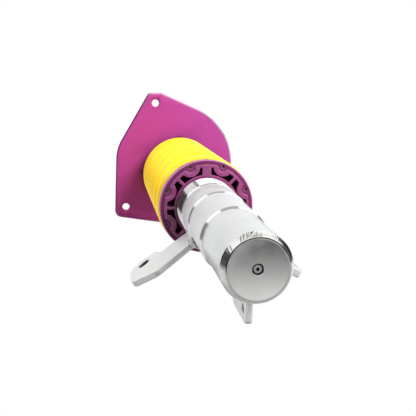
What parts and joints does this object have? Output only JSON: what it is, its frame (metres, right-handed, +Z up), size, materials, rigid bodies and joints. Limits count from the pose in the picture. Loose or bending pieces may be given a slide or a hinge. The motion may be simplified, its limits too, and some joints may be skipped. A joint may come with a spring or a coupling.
{
  "type": "coilover strut",
  "caption": "Clamp-in coilover strut with stepped tube, threaded purple spring perch, yellow coil spring, side brackets and a camber-adjustable top plate.",
  "frame": {"origin": "centre of the end cap's rim, the lowest plane of the strut tube", "axes": "+Z up the strut axis to the top plate; +X and +Y across it; the clamp fin stands at +Y and the sway bar bracket at azimuth 145 degrees from +X towards +Y"},
  "size_m": [0.1858, 0.1919, 0.5599],
  "materials": {
    "plated_steel": "zinc-plated satin steel, brighter on the steps",
    "cap_steel": "turned steel and bright weld",
    "bracket_steel": "satin zinc-plated plate",
    "blackened_steel": "blackened steel",
    "inner_steel": "ground bearing steel",
    "chromed_rod": "hard-chromed and polished",
    "brass": "turned brass",
    "bronze_bush": "sintered bronze",
    "plain_aluminium": "turned aluminium",
    "black_anodised": "black anodised",
    "purple_moulding": "dark purple anodised",
    "perch_steel": "black coated steel",
    "slip_plastic": "black bearing plastic",
    "spring_yellow": "gloss yellow powder coat",
    "purple_anodised": "satin purple anodised",
    "black_rubber": "black rubber",
    "dust_plastic": "black plastic",
    "foam": "pale foam rubber",
    "liner_plastic": "low-friction liner",
    "knob_red": "red anodised"
  },
  "bodies": {
    "strut_body": {"strut_tube": "plated_steel", "stepped_sleeve": "plated_steel", "end_cap": "cap_steel", "foot_weld": "cap_steel", "pressure_tube": "inner_steel", "base_valve": "brass", "rod_guide": "plain_aluminium", "guide_bush": "bronze_bush", "rod_seal": "black_rubber", "gland_nut": "black_anodised", "sway_bar_bracket": "bracket_steel", "clamp_fin": "bracket_steel", "hose_bracket": "bracket_steel", "bracket_welds": "cap_steel"},
    "compression_screw": {"compression_adjuster": "blackened_steel"},
    "spring_seat": {"slip_ring": "slip_plastic", "main_spring": "spring_yellow"},
    "perch": {"perch_ring": "purple_moulding", "perch_plate": "perch_steel", "perch_screws": "blackened_steel", "perch_lock_screw": "blackened_steel"},
    "upper_mount_seat": {"upper_seat": "black_anodised", "dust_tube": "dust_plastic", "thrust_washer_lower": "inner_steel"},
    "thrust_cage": {"needle_cage": "brass", "needle_rollers": "inner_steel"},
    "rod": {"thrust_washer_upper": "inner_steel", "bearing_spacer": "inner_steel", "piston_rod": "chromed_rod", "piston": "plain_aluminium", "piston_band": "liner_plastic", "piston_nut": "blackened_steel", "rebound_stop": "black_rubber", "bump_stop": "foam", "bearing_ball": "inner_steel", "top_washer": "inner_steel", "top_nut": "blackened_steel"},
    "rebound_screw": {"rebound_knob": "knob_red"},
    "ball_liner": {"bearing_liner": "liner_plastic"},
    "bearing_carrier": {"bearing_race": "inner_steel", "bearing_housing": "black_anodised", "snap_ring": "blackened_steel", "clamp_screws": "blackened_steel", "clamp_washers": "inner_steel"},
    "camber_plate": {"top_plate": "purple_anodised"}
  },
  "joints": [
    {"name": "compression_clicks", "type": "hinge", "parent": "strut_body", "child": "compression_screw", "pos_m": [0, 0, 0.005], "axis": [0, 0, 1], "range_deg": [0, 540]},
    {"name": "perch_height", "type": "slide", "parent": "strut_body", "child": "spring_seat", "axis": [0, 0, 1], "range_m": [-0.03, 0]},
    {"name": "perch_turn", "type": "hinge", "parent": "spring_seat", "child": "perch", "pos_m": [0, 0, 0.238], "axis": [0, 0, 1], "range_deg": [-3600, 0]},
    {"name": "damper_stroke", "type": "slide", "parent": "spring_seat", "child": "upper_mount_seat", "axis": [0, 0, 1], "range_m": [-0.095, 0], "stiffness_N_per_m": 60000, "springref_m": 0.004, "deforming": ["main_spring"]},
    {"name": "steering_turn", "type": "hinge", "parent": "upper_mount_seat", "child": "rod", "pos_m": [0, 0, 0.4869], "axis": [0, 0, 1], "range_deg": [-45, 45]},
    {"name": "cage_turn", "type": "hinge", "parent": "upper_mount_seat", "child": "thrust_cage", "pos_m": [0, 0, 0.4867], "axis": [0, 0, 1], "range_deg": [-22.6, 22.6]},
    {"name": "rebound_clicks", "type": "hinge", "parent": "rod", "child": "rebound_screw", "pos_m": [0, 0, 0.55], "axis": [0, 0, 1], "range_deg": [0, 720]},
    {"name": "mount_tilt_y", "type": "hinge", "parent": "rod", "child": "ball_liner", "pos_m": [0, 0, 0.5129], "axis": [0, 1, 0], "range_deg": [-7, 7]},
    {"name": "mount_tilt_x", "type": "hinge", "parent": "ball_liner", "child": "bearing_carrier", "pos_m": [0, 0, 0.5129], "axis": [1, 0, 0], "range_deg": [-7, 7]},
    {"name": "camber_slide", "type": "slide", "parent": "bearing_carrier", "child": "camber_plate", "axis": [0.6884, 0.7254, 0], "range_m": [-0.01, 0.01]}
  ],
  "couplings": [
    {"joint": "perch_turn", "follows": "perch_height", "rad_per_m": 2094.4},
    {"joint": "cage_turn", "follows": "steering_turn", "ratio": 0.5}
  ]
}
